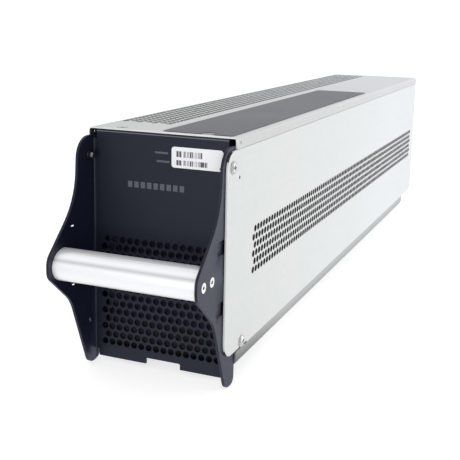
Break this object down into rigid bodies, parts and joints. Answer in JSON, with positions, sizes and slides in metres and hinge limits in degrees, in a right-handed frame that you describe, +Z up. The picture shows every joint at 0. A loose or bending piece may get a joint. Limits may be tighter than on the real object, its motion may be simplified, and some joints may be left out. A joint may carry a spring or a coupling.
{
  "type": "rack battery module",
  "caption": "Long galvanised battery module for a rack bay, with a perforated black front, a fixed pull bar on side plates and a floating blind-mate connector at the rear.",
  "frame": {"origin": "centre of the module's bounding box on the surface it stands on, 8.4 mm under the case's floor", "axes": "+Z up, +X to the right seen from the front, +Y from the front panel to the rear connector"},
  "size_m": [0.1176, 0.709, 0.1759],
  "materials": {
    "battery_block_1": "moulded, matte",
    "battery_block_2": "moulded, matte",
    "battery_block_3": "moulded, matte",
    "battery_block_4": "moulded, matte",
    "battery_block_5": "moulded, matte",
    "battery_block_6": "moulded, matte",
    "battery_block_7": "moulded, matte",
    "battery_block_8": "moulded, matte",
    "block_link_1": "tinned",
    "block_link_2": "tinned",
    "block_link_3": "tinned",
    "block_link_4": "tinned",
    "block_link_5": "tinned",
    "block_link_6": "tinned",
    "block_link_7": "tinned",
    "bottom_liner": "fibre sheet",
    "chassis": "galvanised, satin",
    "clinch_nut_left_lower": "zinc plated",
    "clinch_nut_left_upper": "zinc plated",
    "clinch_nut_right_lower": "zinc plated",
    "clinch_nut_right_upper": "zinc plated",
    "connector_housing": "moulded, matte",
    "cover_screw_left": "zinc plated",
    "cover_screw_right": "zinc plated",
    "ear_screw_left_lower": "zinc plated",
    "ear_screw_left_upper": "zinc plated",
    "ear_screw_right_lower": "zinc plated",
    "ear_screw_right_upper": "zinc plated",
    "end_pad_front": "foam",
    "end_pad_rear": "foam",
    "float_plate": "zinc plated",
    "front_bracket": "fine-texture black powder coat",
    "front_label": "printed film",
    "front_retainer": "fine-texture black powder coat",
    "fuse_holder": "moulded, matte",
    "handle_bar": "satin, clear anodised",
    "handle_screw_left_front": "zinc plated",
    "handle_screw_left_rear": "zinc plated",
    "handle_screw_right_front": "zinc plated",
    "handle_screw_right_rear": "zinc plated",
    "lead_fused": "cable jacket",
    "lead_negative": "cable jacket",
    "lead_positive": "cable jacket",
    "monitor_board": "solder mask",
    "plate_rivet_left": "zinc plated",
    "plate_rivet_right": "zinc plated",
    "power_contact_negative": "tinned",
    "power_contact_positive": "tinned",
    "rear_panel": "galvanised, satin",
    "rear_screw_left": "zinc plated",
    "rear_screw_right": "zinc plated",
    "shoulder_screw_left": "zinc plated",
    "shoulder_screw_right": "zinc plated",
    "signal_insert": "moulded, matte",
    "string_fuse": "unglazed",
    "top_cover": "galvanised, satin",
    "top_label": "printed film",
    "top_pad": "foam"
  },
  "bodies": {
    "case": {"battery_block_1": "battery_block_1", "battery_block_2": "battery_block_2", "battery_block_3": "battery_block_3", "battery_block_4": "battery_block_4", "battery_block_5": "battery_block_5", "battery_block_6": "battery_block_6", "battery_block_7": "battery_block_7", "battery_block_8": "battery_block_8", "block_link_1": "block_link_1", "block_link_2": "block_link_2", "block_link_3": "block_link_3", "block_link_4": "block_link_4", "block_link_5": "block_link_5", "block_link_6": "block_link_6", "block_link_7": "block_link_7", "bottom_liner": "bottom_liner", "chassis": "chassis", "clinch_nut_left_lower": "clinch_nut_left_lower", "clinch_nut_left_upper": "clinch_nut_left_upper", "clinch_nut_right_lower": "clinch_nut_right_lower", "clinch_nut_right_upper": "clinch_nut_right_upper", "cover_screw_left": "cover_screw_left", "cover_screw_right": "cover_screw_right", "ear_screw_left_lower": "ear_screw_left_lower", "ear_screw_left_upper": "ear_screw_left_upper", "ear_screw_right_lower": "ear_screw_right_lower", "ear_screw_right_upper": "ear_screw_right_upper", "end_pad_front": "end_pad_front", "end_pad_rear": "end_pad_rear", "front_bracket": "front_bracket", "front_label": "front_label", "front_retainer": "front_retainer", "fuse_holder": "fuse_holder", "handle_bar": "handle_bar", "handle_screw_left_front": "handle_screw_left_front", "handle_screw_left_rear": "handle_screw_left_rear", "handle_screw_right_front": "handle_screw_right_front", "handle_screw_right_rear": "handle_screw_right_rear", "lead_fused": "lead_fused", "lead_negative": "lead_negative", "lead_positive": "lead_positive", "monitor_board": "monitor_board", "plate_rivet_left": "plate_rivet_left", "plate_rivet_right": "plate_rivet_right", "rear_panel": "rear_panel", "rear_screw_left": "rear_screw_left", "rear_screw_right": "rear_screw_right", "shoulder_screw_left": "shoulder_screw_left", "shoulder_screw_right": "shoulder_screw_right", "string_fuse": "string_fuse", "top_cover": "top_cover", "top_label": "top_label", "top_pad": "top_pad"},
    "float_carrier": {"float_plate": "float_plate"},
    "connector": {"connector_housing": "connector_housing", "signal_insert": "signal_insert", "power_contact_positive": "power_contact_positive", "power_contact_negative": "power_contact_negative"}
  },
  "joints": [
    {"name": "connector_float_x", "type": "slide", "parent": "case", "child": "float_carrier", "axis": [1, 0, 0], "range_m": [-0.0012, 0.0012]},
    {"name": "connector_float_z", "type": "slide", "parent": "float_carrier", "child": "connector", "axis": [0, 0, 1], "range_m": [0, 0.002]}
  ]
}
